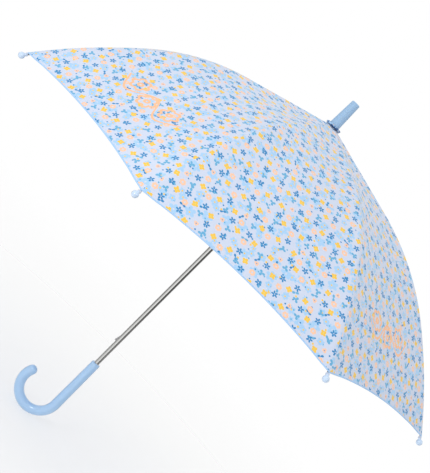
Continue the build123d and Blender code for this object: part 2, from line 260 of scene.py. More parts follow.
# ---------------------------------------------------------------- shader maths
class Value:
    """A number in a material's node tree that Python's arithmetic works on."""

    def __init__(self, finish, socket):
        self.finish = finish
        self.socket = socket

    def math(self, operation, *others, swapped=False):
        values = (self, *others)[::-1] if swapped else (self, *others)
        made = self.finish.node(
            "ShaderNodeMath", {"operation": operation}, dict(enumerate(values)))
        return Value(self.finish, made.outputs[0])

    def __add__(self, other):
        return self.math("ADD", other)

    def __sub__(self, other):
        return self.math("SUBTRACT", other)

    def __rsub__(self, other):
        return self.math("SUBTRACT", other, swapped=True)

    def __mul__(self, other):
        return self.math("MULTIPLY", other)

    def __truediv__(self, other):
        return self.math("DIVIDE", other)

    def __pow__(self, other):
        return self.math("POWER", other)

    def __mod__(self, other):
        return self.math("FLOORED_MODULO", other)

    def __lt__(self, other):
        return self.math("LESS_THAN", other)

    def __gt__(self, other):
        return self.math("GREATER_THAN", other)

    def __abs__(self):
        return self.math("ABSOLUTE")

    __radd__ = __add__
    __rmul__ = __mul__

    def floor(self):
        return self.math("FLOOR")

    def root(self):
        return self.math("SQRT")

    def sine(self):
        return self.math("SINE")

    def cosine(self):
        return self.math("COSINE")

    def least(self, other):
        return self.math("MINIMUM", other)

    def most(self, other):
        return self.math("MAXIMUM", other)


class Nodes:
    """A node tree, emptied and then built node by node. It belongs to a material or to the world."""

    def __init__(self, owner):
        owner.use_nodes = True
        self.tree = owner.node_tree
        self.tree.nodes.clear()

    def node(self, kind, settings=None, sockets=None):
        """Makes a node, gives it its settings first, and then feeds its sockets."""
        made = self.tree.nodes.new(kind)
        for name, value in (settings or {}).items():
            if name == "stops":
                self.set_stops(made.color_ramp, value)
            else:
                setattr(made, name, value)
        for name, value in (sockets or {}).items():
            self.feed(made.inputs[name], value)
        return made

    @staticmethod
    def set_stops(ramp, stops):
        """Sets a ramp's interpolation and its stops, each a place and a colour of four parts."""
        ramp.interpolation, places = stops
        while len(ramp.elements) < len(places):
            ramp.elements.new(1.0)
        for element, (place, shade) in zip(ramp.elements, places):
            element.position = place
            element.color = shade

    def feed(self, socket, value):
        if isinstance(value, Value):
            value = value.socket
        if isinstance(value, bpy.types.NodeSocket):
            self.tree.links.new(value, socket)
        else:
            four = isinstance(value, tuple) and len(value) == 3 and socket.type == "RGBA"
            socket.default_value = (*value, 1) if four else value


class Finish(Nodes):
    """A material with one Principled shader."""

    def __init__(self, name):
        self.material = bpy.data.materials.new(name)
        super().__init__(self.material)
        self.shader = self.node("ShaderNodeBsdfPrincipled")
        output = self.node("ShaderNodeOutputMaterial")
        self.tree.links.new(self.shader.outputs[0], output.inputs["Surface"])

    def set(self, **sockets):
        """Feeds the shader's own sockets, named with _ for each space."""
        for name, value in sockets.items():
            self.feed(self.shader.inputs[name.replace("_", " ")], value)

    def parts(self, vector):
        """The numbers in a vector socket."""
        split = self.node("ShaderNodeSeparateXYZ", sockets={0: vector})
        return [Value(self, part) for part in split.outputs]

    def place(self):
        return self.node("ShaderNodeTexCoord").outputs["Object"]

    def uv(self, name):
        return self.node("ShaderNodeUVMap", {"uv_map": name}).outputs[0]

    def noise(self, scale, detail=2.0, stretch=(1, 1, 1), vector=None):
        """Smooth noise from 0 to 1, on the piece's own coordinates unless others are given."""
        vector = vector or self.place()
        if stretch != (1, 1, 1):
            vector = self.node("ShaderNodeMapping", sockets={"Vector": vector, "Scale": stretch}).outputs[0]
        made = self.node("ShaderNodeTexNoise", sockets={"Vector": vector, "Scale": scale, "Detail": detail})
        return Value(self, made.outputs["Fac"])

    def mix(self, factor, first, second, blend="MIX"):
        """Blends two colours."""
        settings = {"data_type": "RGBA", "blend_type": blend}
        made = self.node("ShaderNodeMix", settings, {0: factor, 6: first, 7: second})
        return made.outputs[2]

    def ramp(self, value, stops):
        made = self.node("ShaderNodeValToRGB", {"stops": stops}, {0: value})
        return made.outputs

    def bump(self, height, distance, strength=1.0):
        sockets = {"Height": height, "Distance": distance, "Strength": strength}
        self.set(Normal=self.node("ShaderNodeBump", sockets=sockets).outputs[0])


# ---------------------------------------------------------------- the print
class Motif:
    """One kind of printed flower: its radius, petals, how deep they part, and its heart."""

    def __init__(self, petals, radius, parting, shade, heart=0.0, heart_shade=(0, 0, 0)):
        self.shape = (radius / (10 * MM), parting, heart / (10 * MM), petals / 10)
        self.shade = (*shade, 1)
        self.heart_shade = (*heart_shade, 1)


def steps(values):
    """Ramp stops that hold each value over an equal share of the way from 0 to 1."""
    return ("CONSTANT", [(i / len(values), value) for i, value in enumerate(values)])


def scatter(finish, ground, x, y, motifs, pitch, row, stagger, salt, jitter, slimness=1.0):
    """Prints motifs over a ground colour, one in each cell of a brick pattern, and returns the colour."""
    line = (y / row).floor()
    along = x / pitch - line * 0.5
    cell = along.floor()
    here = finish.node("ShaderNodeCombineXYZ", sockets={0: cell + salt, 1: line})
    chance = finish.node(
        "ShaderNodeTexWhiteNoise", {"noise_dimensions": "2D"}, {"Vector": here.outputs[0]})
    shift_x, shift_y, turn = finish.parts(chance.outputs["Color"])
    dx = (along - cell - 0.5) * pitch - (shift_x - 0.5) * (2 * jitter)
    dy = (y / row - line - 0.5) * row - (shift_y - 0.5) * jitter
    reach = (dx * dx + dy * dy).root()
    angle = dy.math("ARCTAN2", dx) + turn * (2 * pi)
    kind = ((cell + line * stagger) % len(motifs) + 0.5) / len(motifs)
    shape = finish.ramp(kind, steps([motif.shape for motif in motifs]))
    radius, parting, heart = finish.parts(shape[0])
    petals = Value(finish, shape[1])
    lobes = abs((angle * petals * 5).cosine()) ** slimness
    edge = radius * (1 - parting + parting * lobes) * (10 * MM)
    shade = finish.ramp(kind, steps([motif.shade for motif in motifs]))[0]
    heart_shade = finish.ramp(kind, steps([motif.heart_shade for motif in motifs]))[0]
    printed = finish.mix(reach < edge, ground, shade)
    return finish.mix(reach < heart * (10 * MM), printed, heart_shade)


def outline_daisies(finish, ground, shade):
    """A row of three outline daisies on a wavy stem, drawn on the gores that have an ornament."""
    x, y, _ = finish.parts(finish.uv("ornament"))
    apart, radius, line = 38 * MM, 14.5 * MM, 2.2 * MM
    heart_radius, off_line, swing, stem_up = 3.4 * MM, 6 * MM, 15 * MM, 4 * MM
    number = (x / apart + 0.5).floor().most(-1).least(1)
    dx = x - number * apart
    side = 1 - abs(number) * 2
    dy = y - side * off_line
    reach = (dx * dx + dy * dy).root()
    angle = dy.math("ARCTAN2", dx)
    edge = radius * (0.72 + 0.28 * abs((angle * 3 + 0.6).cosine()))
    petals = abs(reach - edge) < line
    heart = abs(reach - heart_radius) < 0.85 * line
    wave = (x * (pi / apart)).cosine() * -swing
    stem = (abs(y - wave - stem_up) < 0.9 * line) * (abs(x) < 1.75 * apart) * (reach > edge)
    return finish.mix(petals.most(heart).most(stem), ground, shade)


def print_on(finish, chosen):
    """Colour of the whole print."""
    flat_x, flat_y, _ = finish.parts(finish.uv("print"))
    turn = radians(21)
    x = flat_x * cos(turn) + flat_y * sin(turn)
    y = flat_y * cos(turn) - flat_x * sin(turn)
    ground, deep, middle, pale = [tuple(c) for c in (chosen.ground, chosen.deep, chosen.middle, chosen.pale)]
    yellow, peach = tuple(chosen.yellow), tuple(chosen.peach)
    none = Motif(2, 0, 0, ground)
    faint = [
        Motif(5, 8 * MM, 0.45, pale, 1.6 * MM, ground), none,
        Motif(5, 6.5 * MM, 0.4, pale, 1.2 * MM, yellow),
    ]
    leaves = [
        Motif(2, 5.2 * MM, 0.95, middle),
        Motif(5, 4.6 * MM, 0.4, pale, 1.25 * MM, yellow),
        none,
        Motif(2, 4.6 * MM, 0.95, deep),
        none,
        Motif(5, 4.4 * MM, 0.4, pale, 1.1 * MM, middle),
        none,
    ]
    dots = [
        Motif(2, 1.25 * MM, 0, deep), none, none, none, Motif(2, 1.5 * MM, 0, yellow), none, none, none,
        Motif(2, 1.1 * MM, 0, deep), none, none, none, none, Motif(2, 1.2 * MM, 0, middle), none,
    ]
    star = Motif(5, 5.0 * MM, 0.74, deep, 0.8 * MM, ground)
    yellow_flower = Motif(4, 4.7 * MM, 0.42, yellow, 1.1 * MM, colour(240, 214, 120))
    ring = Motif(6, 4.7 * MM, 0.2, peach, 1.3 * MM, ground)
    small = Motif(3, 3.5 * MM, 0.3, peach, 1.0 * MM, colour(140, 160, 200))
    halo = Motif(5, 5.2 * MM, 0.4, pale, 1.2 * MM, yellow)
    sprig = Motif(3, 4.8 * MM, 0.9, middle)
    flowers = [
        star, yellow_flower, ring, star, yellow_flower, sprig, star, yellow_flower, ring, halo, small,
        sprig, halo,
    ]
    row, pitch = chosen.row, chosen.pitch
    result = scatter(finish, ground, x, y, faint, 1.6 * pitch, 1.6 * row, 1, 7, 3.5 * MM)
    result = scatter(finish, result, y, x, leaves, 1.07 * pitch, 1.1 * row, 2, 31, 3 * MM, slimness=3)
    result = scatter(finish, result, x, y, dots, 0.52 * pitch, 0.55 * row, 4, 53, 1.5 * MM)
    result = scatter(finish, result, x, y, flowers, pitch, row, 5, 3, 2.2 * MM)
    return outline_daisies(finish, result, tuple(chosen.drawing))


def weave_height(x, y):
    """Height of a plain weave: threads that pass over and under each other."""
    turns = 2 * pi / THREAD
    return (x * turns).sine() * (y * turns).sine()


def cloth_finish(name, shine_through):
    """The printed cloth. shine_through is how much paler the print is painted, from 0 to 1: painted light
    shining through the cloth.
    """
    finish = Finish(name)
    chosen = bpy.context.scene.umbrella_print
    printed = print_on(finish, chosen)
    # the print made paler toward the ground colour: painted light shining through the cloth
    if shine_through:
        printed = finish.mix(shine_through, printed, tuple(chosen.ground))
    x, y, _ = finish.parts(finish.uv("print"))
    mottle = finish.noise(9.0, 3.0, vector=finish.uv("print"))
    shade = finish.mix(1.0, printed, finish.ramp(mottle, (
        "LINEAR", [(0.3, (0.965, 0.965, 0.975, 1)), (0.7, (1, 1, 1, 1))]))[0], "MULTIPLY")
    finish.set(Base_Color=shade, Roughness=0.62 + 0.14 * mottle, Sheen_Weight=0.25, Sheen_Roughness=0.4)
    finish.bump(weave_height(x, y) * 0.5 + mottle, 0.04 * MM)
    return finish.material


def sewn_finish(name, shade, stitch_at):
    """Plain cloth tape with a row of stitches. Its UV runs along it, and across from 0 to 1."""
    finish = Finish(name)
    run, across, _ = finish.parts(finish.uv("tape"))
    stitch = (run % (2.6 * MM) < 1.9 * MM) * (abs(across - stitch_at) < 0.06)
    fibre = finish.noise(900.0, 2.0)
    cloth = finish.mix(fibre * 0.25, shade, tuple(0.72 * part for part in shade))
    thread = tuple(min(1.0, 1.12 * part) for part in shade)
    finish.set(Base_Color=finish.mix(stitch, cloth, thread), Roughness=0.7 + 0.1 * fibre, Sheen_Weight=0.2)
    finish.bump(stitch * 0.6 + fibre * 0.3, 0.15 * MM)
    return finish.material


def plastic_finish(name, shade, roughness, coat=0.0, grain=0.02):
    """Moulded plastic: slightly uneven in colour and gloss, with a faint orange peel."""
    finish = Finish(name)
    cloud = finish.noise(22.0, 3.0)
    fine = finish.noise(650.0, 2.0)
    body = finish.mix(cloud * 0.35, shade, tuple(0.9 * part for part in shade))
    finish.set(
        Base_Color=body, Roughness=roughness + 0.08 * cloud + grain * fine, IOR=1.49,
        Coat_Weight=coat, Coat_Roughness=0.06, Subsurface_Weight=0.06, Subsurface_Radius=(0.4, 0.5, 0.7),
        Subsurface_Scale=2 * MM)
    finish.bump(fine * 0.4 + cloud, 0.03 * MM)
    return finish.material


def metal_finish(name, shade, roughness, scratch, stretch=(1, 1, 1), dull=0.15):
    """Metal with drawing marks along the stretch's short way and uneven polish."""
    finish = Finish(name)
    marks = finish.noise(scratch, 3.0, stretch)
    stain = finish.noise(35.0, 3.0)
    metal = finish.mix(stain * 0.5, shade, tuple(0.82 * part for part in shade))
    finish.set(Base_Color=metal, Metallic=1.0, Roughness=roughness + dull * marks * stain)
    finish.bump(marks, 0.01 * MM)
    return finish.material


def rosette_finish(name, dark, light, warm):
    """Gathered cloth whose print is cut into dark and warm flecks on a light ground."""
    finish = Finish(name)
    fleck = finish.noise(230.0, 1.0)
    weave = finish.noise(1500.0, 1.0)
    mixed = finish.mix(fleck > 0.5, light, dark)
    mixed = finish.mix(fleck < 0.36, mixed, warm)
    finish.set(Base_Color=mixed, Roughness=0.68 + 0.1 * weave, Sheen_Weight=0.3)
    finish.bump(weave, 0.05 * MM)
    return finish.material


# ---------------------------------------------------------------- meshes
def only_select(*objects):
    bpy.ops.object.select_all(action="DESELECT")
    for obj in objects:
        obj.select_set(True)
    bpy.context.view_layer.objects.active = objects[0]


def mesh_object(name, points, faces, material):
    mesh = bpy.data.meshes.new(name)
    mesh.from_pydata([tuple(point) for point in points], [], faces)
    mesh.validate()
    obj = bpy.data.objects.new(name, mesh)
    bpy.context.scene.collection.objects.link(obj)
    mesh.materials.append(material)
    return obj


def smooth(obj, angle=40):
    only_select(obj)
    bpy.ops.object.shade_smooth_by_angle(angle=radians(angle))


def thicken(obj, thickness, reverse=0):
    """Gives a surface a wall, whose back takes the material that many slots on."""
    wall = obj.modifiers.new("Wall", "SOLIDIFY")
    wall.thickness = thickness
    wall.offset = 0
    wall.material_offset = reverse
    only_select(obj)
    bpy.ops.object.modifier_apply(modifier="Wall")


def swept(name, loops, material, closed=False):
    """A solid skin over loops of points, whose tape UV runs along it and once across each loop."""
    count = len(loops[0])
    points = [point for loop in loops for point in loop]
    faces, runs = [], [0.0]
    for before, after in zip(loops, loops[1:]):
        runs.append(runs[-1] + (after[0] - before[0]).length)
    ways = len(loops) if closed else len(loops) - 1
    for i in range(ways):
        a, b = i * count, (i + 1) % len(loops) * count
        faces += [(a + j, a + (j + 1) % count, b + (j + 1) % count, b + j) for j in range(count)]
    if not closed:
        faces += [tuple(range(count))[::-1], tuple(len(points) - count + j for j in range(count))]
    obj = mesh_object(name, points, faces, material)
    layer = obj.data.uv_layers.new(name="tape")
    for face in obj.data.polygons[: ways * count]:
        way, j = divmod(face.index, count)
        corners = ((way, j), (way, j + 1), (way + 1, j + 1), (way + 1, j))
        for loop, (k, across) in zip(face.loop_indices, corners):
            run = runs[k] if k < len(runs) else runs[-1]
            layer.data[loop].uv = (run, across / count)
    return obj


def face_outwards(obj):
    """Turns a closed skin's faces outwards."""
    only_select(obj)
    bpy.ops.object.mode_set(mode="EDIT")
    bpy.ops.mesh.select_all(action="SELECT")
    bpy.ops.mesh.normals_make_consistent(inside=False)
    bpy.ops.object.mode_set(mode="OBJECT")


def fold_with(obj, rib):
    """Hangs a piece on its rib's body and gives it a mesh of its own."""
    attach(obj, f"rib_{rib}")
    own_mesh(obj)


# ---------------------------------------------------------------- canopy
def slack(gore, share, across):
    """Height of the small waves in the cloth of one gore."""
    cloth = bpy.context.scene.umbrella_cloth
    chord = 2 * rib_point(share * CLOTH_END)[0] * sin(PITCH / 2)
    seam = min(across, 1 - across) * chord
    pucker_reach, pucker_pitch, draw_reach, draw_pitch, draws_from = 11 * MM, 17 * MM, 35 * MM, 8.5 * MM, 0.72
    pucker = exp(-((seam / pucker_reach) ** 2)) * sin(share * CLOTH_END * 2 * pi / pucker_pitch + 1.7 * gore)
    pucker *= min(1.0, seam / (2 * MM))
    wave = sin(pi * share) * sin(2 * pi * (1.4 * share + 0.31 * gore))
    wave *= sin(2 * pi * across + 0.7 * sin(gore))
    corner = max(0.0, share - draws_from) / (1 - draws_from)
    draw = corner * exp(-((seam / draw_reach) ** 2)) * min(1.0, seam / (4 * MM))
    draw *= sin(seam / draw_pitch + 2.4 * corner)
    return cloth.pucker * pucker * share ** 0.5 + cloth.swell * (0.55 * wave + 0.6 * draw)


def cloth_point(rib, share, across, lift, hem_in=0.0):
    """A point of the cloth: share runs from the crown to the hem, across from -1/2 to 1/2 between gores."""
    cloth = bpy.context.scene.umbrella_cloth
    side = 1 if across >= 0 else -1
    gore = (rib - 1 if side > 0 else rib - 2) % len(RIBS)
    waves = slack(gore, share, across if side > 0 else 1 + across)
    span = abs(across)
    between = 4 * span * (1 - span)
    length = CLOTH_END - CLOTH_START - cloth.scallop * between - hem_in
    radius, height = rib_point(CLOTH_START + share * length, lift + waves)
    x = radius * (1 - span + span * cos(PITCH))
    y = radius * span * sin(PITCH)
    dip = cloth.dip * between * sin(pi * min(1.0, share))
    inwards = (hypot(x, y) - dip / 2) / hypot(x, y)
    turn = Matrix.Rotation(azimuth(rib), 3, "Z")
    return turn @ Vector((x * inwards, side * y * inwards, CROWN + height - dip))


def gore_uv(rib, share, across, side):
    """Flat place in a gore: across from its middle, and down from the crown."""
    gore = rib if side > 0 else (rib - 2) % len(RIBS) + 1
    cloth = bpy.context.scene.umbrella_cloth
    span = abs(across)
    length = CLOTH_END - CLOTH_START - cloth.scallop * 4 * span * (1 - span)
    along = CLOTH_START + share * length
    chord = 2 * rib_point(along)[0] * sin(PITCH / 2)
    lateral = (span - 0.5) * chord if side > 0 else (0.5 - span) * chord
    return gore, lateral, along


def make_kite(rib, face, reverse):
    """The cloth from the middle of one gore over a rib to the middle of the next."""
    cloth = bpy.context.scene.umbrella_cloth
    columns, rows = cloth.columns, cloth.rows
    grid = [(i / rows, j / columns - 0.5) for i in range(rows + 1) for j in range(columns + 1)]
    points = [cloth_point(rib, share, across, CLOTH_LIFT) for share, across in grid]
    faces = []
    for i in range(rows):
        for j in range(columns):
            a = i * (columns + 1) + j
            faces.append((a, a + columns + 1, a + columns + 2, a + 1))
    kite = mesh_object(f"canopy_cloth_{rib}", points, faces, face)
    kite.data.materials.append(reverse)
    print_layer = kite.data.uv_layers.new(name="print")
    ornament_layer = kite.data.uv_layers.new(name="ornament")
    for polygon in kite.data.polygons:
        side = 1 if polygon.index % columns >= columns // 2 else -1
        for loop, vertex in zip(polygon.loop_indices, polygon.vertices):
            gore, lateral, along = gore_uv(rib, *grid[vertex], side)
            print_layer.data[loop].uv = (lateral + 0.4 + 0.0371 * gore, along + 0.3 + 0.0233 * gore)
            drawn = gore in ORNAMENT_GORES
            ornament_layer.data[loop].uv = (lateral, along - ORNAMENT_ALONG) if drawn else (1.0, 1.0)
    thicken(kite, cloth.thickness, reverse=1)
    smooth(kite, 60)
    return kite


def flat_kite():
    """Width, length and area of one kite of cloth, cut flat."""
    rows = 200
    length = CLOTH_END - CLOTH_START
    radii = [rib_point(CLOTH_START + (i + 0.5) / rows * length)[0] for i in range(rows)]
    widths = [2 * radius * sin(PITCH / 2) for radius in radii]
    return max(widths), length, sum(widths) * length / rows


def make_hem(rib, material):
    """Rolled binding along the edge of one kite: a lip on top and a wider fold inside."""
    trim = bpy.context.scene.umbrella_trim
    cloth = bpy.context.scene.umbrella_cloth
    half, lip, fold, wall = cloth.thickness / 2, trim.hem_width, 7 * MM, 0.3 * MM
    # (in from the edge, lift off the cloth's middle)
    outline = [
        (lip, half + 0.02 * MM), (lip, half + 0.75 * wall), (lip - 0.5 * MM, half + wall),
        (0.5 * MM, half + 1.25 * wall), (-0.25 * MM, half + 0.4 * wall), (-0.45 * MM, -half),
        (0.0, -half - 1.2 * wall), (1.2 * MM, -half - 1.6 * wall), (fold - 0.4 * MM, -half - 1.3 * wall),
        (fold, -half - wall), (fold, -half - 0.02 * MM), (fold / 2, -half - 0.02 * MM),
        (0.4 * MM, -half - 0.02 * MM), (0.05 * MM, 0.0), (0.4 * MM, half + 0.02 * MM),
    ]
    loops = []
    for j in range(cloth.columns + 1):
        across = j / cloth.columns - 0.5
        loops.append([
            cloth_point(rib, 1.0, across, CLOTH_LIFT + lift, hem_in=inward) for inward, lift in outline])
    hem = swept(f"hem_{rib}", loops, material)
    face_outwards(hem)
    smooth(hem, 50)
    return hem


def make_seam(rib, material):
    """The felled seam that runs over a rib, inside the cloth."""
    cloth = bpy.context.scene.umbrella_cloth
    loops = []
    rows = cloth.rows
    top, bottom = -cloth.thickness / 2 - 0.3 * MM, -cloth.thickness / 2 - 0.65 * MM
    outline = [(aside, top) for aside in (-1, -0.5, 0, 0.5, 1)]
    outline += [(aside, bottom) for aside in (1, 0.4, -0.4, -1)]
    for i in range(rows + 1):
        share = 0.02 + 0.96 * i / rows
        radius = rib_point(CLOTH_START + share * (CLOTH_END - CLOTH_START))[0]
        width = 4.2 * MM / (radius * sin(PITCH))
        loops.append([cloth_point(rib, share, width * aside, CLOTH_LIFT + lift) for aside, lift in outline])
    seam = swept(f"seam_tape_{rib}", loops, material)
    face_outwards(seam)
    smooth(seam, 50)
    return seam


class UMBRELLA_OT_canopy(bpy.types.Operator):
    """Sew the canopy: eight kites of printed cloth, their hems and their seams"""
    bl_idname = "umbrella.canopy"
    bl_label = "Canopy"

    def execute(self, context):
        face = cloth_finish("printed_cloth", 0.0)
        # the underside: the same print, painted paler as light shining through the cloth
        reverse = cloth_finish("printed_cloth_reverse", 0.62)
        hem_finish = sewn_finish("hem_binding", tuple(context.scene.umbrella_trim.hem_colour), 0.56)
        tape_finish = sewn_finish("seam_tape", tuple(context.scene.umbrella_print.ground), 0.7)
        width, length, area = flat_kite()
        for rib in RIBS:
            kite = make_kite(rib, face, reverse)
            trims = [make_hem(rib, hem_finish), make_seam(rib, tape_finish)]
            for piece in (kite, *trims):
                fold_with(piece, rib)
            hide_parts(f"canopy_panel_{rib}")
        return {"FINISHED"}


# ---------------------------------------------------------------- crown trim
class UMBRELLA_OT_crown(bpy.types.Operator):
    """Make the cloth patch on the crown and the gathered rosette round the ferrule"""
    bl_idname = "umbrella.crown"
    bl_label = "Crown Trim"

    def execute(self, context):
        trim = context.scene.umbrella_trim
        light, warm = tuple(context.scene.umbrella_print.pale), tuple(context.scene.umbrella_print.peach)
        finish = rosette_finish("rosette_cloth", tuple(trim.rosette_colour), light, warm)
        self.make_patch(finish)
        self.make_rosette(finish, trim.pleats)
        return {"FINISHED"}

    def make_patch(self, finish):
        radius = PATCH_HIGH.x
        bore = 4.4 * MM               # a little wider than the shaft
        middle = (PATCH_LOW.z + PATCH_HIGH.z) / 2
        outline = ((bore, 0.2), (0.7 * radius, 0.2), (radius, 0.15), (radius, -0.15), (0.7 * radius, -0.2),
                   (bore, -0.2))
        loops = []
        around = 72
        for i in range(around):
            angle = 2 * pi * i / around
            sag = 0.25 * MM * cos(len(RIBS) * (angle - FIRST_AZIMUTH))
            ring = [(out, middle + up * MM + sag * (out / radius) ** 2) for out, up in outline]
            loops.append([Vector((out * cos(angle), out * sin(angle), level)) for out, level in ring])
        patch = swept("crown_patch_cloth", loops, finish, closed=True)
        face_outwards(patch)
        smooth(patch)
        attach(patch, "root")
        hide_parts("crown_patch")

    def make_rosette(self, finish, pleats):
        """A strip gathered round the ferrule, standing in uneven pleats."""
        inner, outer = FERRULE_HIGH.x + 0.1 * MM, ROSETTE_HIGH.x
        base, height = ROSETTE_LOW.z, ROSETTE_HIGH.z - ROSETTE_LOW.z
        around, across = 24 * pleats, 12
        points, faces = [], []
        for i in range(around):
            angle = 2 * pi * i / around
            uneven = 0.45 * sin(2 * angle + 0.8) + 0.35 * sin(5 * angle)
            fold = sin(pleats * angle + uneven)
            for j in range(across + 1):
                round_edge = pi * j / across
                out = sin(round_edge) ** 0.75
                reach = inner + (outer - inner) * out * (0.84 + 0.16 * fold)
                rise = 0.5 - 0.40 * cos(round_edge) + 0.09 * out * sin(pleats * angle + uneven + 1.3)
                points.append((reach * cos(angle), reach * sin(angle), base + height * rise))
        for i in range(around):
            a, b = i * (across + 1), (i + 1) % around * (across + 1)
            faces += [(a + j, a + j + 1, b + j + 1, b + j) for j in range(across)]
        rosette = mesh_object("rosette_cloth", points, faces, finish)
        thicken(rosette, 0.4 * MM)
        smooth(rosette, 80)
        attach(rosette, "root")
        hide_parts("crown_rosette")


# ---------------------------------------------------------------- closing strap
class UMBRELLA_OT_strap(bpy.types.Operator):
    """Make the closing strap and its press stud"""
    bl_idname = "umbrella.strap"
    bl_label = "Closing Strap"

    def execute(self, context):
        trim = context.scene.umbrella_trim
        width, length, thickness = 16 * MM, 130 * MM, 1.1 * MM
        from_hem, beside_rib, stud_from_end = 24 * MM, 6 * MM, 12 * MM
        end = CLOTH_END - from_hem
        finish = sewn_finish("strap_tape", tuple(trim.hem_colour), 0.04)
        chord_way = Vector((cos(pi / 2 + PITCH / 2), sin(pi / 2 + PITCH / 2), 0))
        turn = Matrix.Rotation(azimuth(STRAP_RIB), 3, "Z")

        def place(along, aside, lift):
            radius, height = rib_point(along, CLOTH_LIFT + 0.75 * MM + lift)
            return turn @ (Vector((radius, 0, CROWN + height)) + (beside_rib + aside) * chord_way)

        outline = ((-1, 0.15), (-1, 0.7), (-0.9, 1), (0, 0.92), (0.9, 1), (1, 0.7), (1, 0.15), (0, 0))
        loops = []
        rows = 44
        for i in range(rows + 1):
            share = i / rows
            tip = min(1.0, (1 - share) * length / (width / 2))
            half = width / 2 * max(0.12, (1 - (1 - tip) ** 2) ** 0.5)
            ripple = max(0, 0.35 * MM * sin(share * 14) * sin(pi * share))
            along = end - length + share * length
            loops.append([
                place(along, width / 2 + aside * half, ripple + up * thickness) for aside, up in outline])
        strap = swept("closing_strap_tape", loops, finish)
        face_outwards(strap)
        smooth(strap, 35)
        fold_with(strap, STRAP_RIB)
        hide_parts("closing_strap")
        at = end - stud_from_end
        self.make_stud(place(at, width / 2, thickness), place(at - MM, width / 2, thickness),
                       place(at, width / 2 + MM, thickness))
        return {"FINISHED"}

    def make_stud(self, centre, behind, beside):
        """A domed press stud with a rolled rim, turned to lie on the strap."""
        bpy.ops.object.select_all(action="DESELECT")
        bpy.ops.mesh.primitive_cylinder_add(
            vertices=40, radius=5.3 * MM, depth=1.0 * MM, location=(0, 0, 0.5 * MM))
        stud = bpy.context.object
        stud.name = "press_stud"
        bpy.ops.object.transform_apply(location=True, rotation=True, scale=True)
        bpy.ops.object.mode_set(mode="EDIT")
        for inset, rise in ((0.7, 0.5), (0.5, -0.35), (0.3, 0.0), (0.7, 0.75), (1.0, 0.4), (1.0, 0.12)):
            self.select_top(stud)
            bpy.ops.mesh.inset(thickness=inset * MM, depth=0)
            bpy.ops.transform.translate(value=(0, 0, rise * MM))
        bpy.ops.object.mode_set(mode="OBJECT")
        rounding = stud.modifiers.new("Rounding", "BEVEL")
        rounding.width = 0.12 * MM
        rounding.segments = 2
        rounding.angle_limit = radians(35)
        bpy.ops.object.modifier_apply(modifier="Rounding")
        along = (centre - behind).normalized()
        aside = (beside - centre).normalized()
        normal = along.cross(aside)
        if normal.z < 0:
            normal = -normal
        aside = normal.cross(along)
        turned = Matrix((along, aside, normal)).transposed().to_4x4()
        stud.data.transform(Matrix.Translation(centre) @ turned)
        smooth(stud, 30)
        shade = tuple(bpy.context.scene.umbrella_trim.ball_colour)
        stud.data.materials.append(plastic_finish("stud_plastic", shade, 0.25, coat=0.3))
        fold_with(stud, STRAP_RIB)
        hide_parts("strap_stud")

    @staticmethod
    def select_top(obj):
        """Selects the highest flat face, in edit mode."""
        bpy.ops.mesh.select_all(action="DESELECT")
        bpy.ops.object.mode_set(mode="OBJECT")
        level = [face for face in obj.data.polygons if face.normal.z > 0.999]
        min(level, key=lambda face: face.center.xy.length).select = True
        bpy.ops.object.mode_set(mode="EDIT")


# ---------------------------------------------------------------- sewing threads
class UMBRELLA_OT_threads(bpy.types.Operator):
    """Wind the threads that hold the cloth to the rib tips and to the ribs"""
    bl_idname = "umbrella.threads"
    bl_label = "Sewing Threads"

    def execute(self, context):
        finish = Finish("sewing_thread")
        twist = finish.noise(2500.0, 1.0)
        shade = tuple(context.scene.umbrella_print.ground)
        dark = tuple(0.7 * part for part in shade)
        finish.set(Base_Color=finish.mix(twist * 0.4, shade, dark), Roughness=0.75)
        finish.bump(twist, 0.08 * MM)
        round_neck, round_rib, up_neck = 2.35 * MM, 2.05 * MM, 1.3 * MM
        neck = (round_neck, BALL_ALONG - NECK_LENGTH + up_neck, 3)
        ties = [(round_rib, along, 4) for along in CLOTH_TIES]
        for rib in RIBS:
            for number, (radius, along, turns) in enumerate((neck, *ties)):
                name = f"tip_thread_{rib}" if number == 0 else f"rib_tie_{rib}_{number}"
                self.wind(name, rib, along, radius, turns, finish.material)
        return {"FINISHED"}

    def wind(self, name, rib, along, radius, turns, material):
        """A few turns of thread side by side round a rib."""
        thread = 0.28 * MM
        coils = []
        middle = rib_place(rib, along)
        slope = rib_slope(min(along, LAST_SLOPE))
        way = Matrix.Rotation(azimuth(rib), 4, "Z") @ Matrix.Rotation(pi / 2 + slope, 4, "Y")
        for i in range(turns):
            bpy.ops.object.select_all(action="DESELECT")
            bpy.ops.mesh.primitive_torus_add(
                major_segments=20, minor_segments=6, major_radius=radius, minor_radius=thread,
                location=(0, 0, (i - (turns - 1) / 2) * 1.7 * thread),
                rotation=(0.05 * (-1) ** i, 0.04, 0.3 * i))
            bpy.ops.object.transform_apply(location=True, rotation=True, scale=True)
            coils.append(bpy.context.object)
        only_select(*coils)
        bpy.ops.object.join()
        thread_coil = bpy.context.object
        thread_coil.name = name
        thread_coil.data.transform(Matrix.Translation(middle) @ way)
        smooth(thread_coil, 80)
        thread_coil.data.materials.append(material)
        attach(thread_coil, f"rib_{rib}")


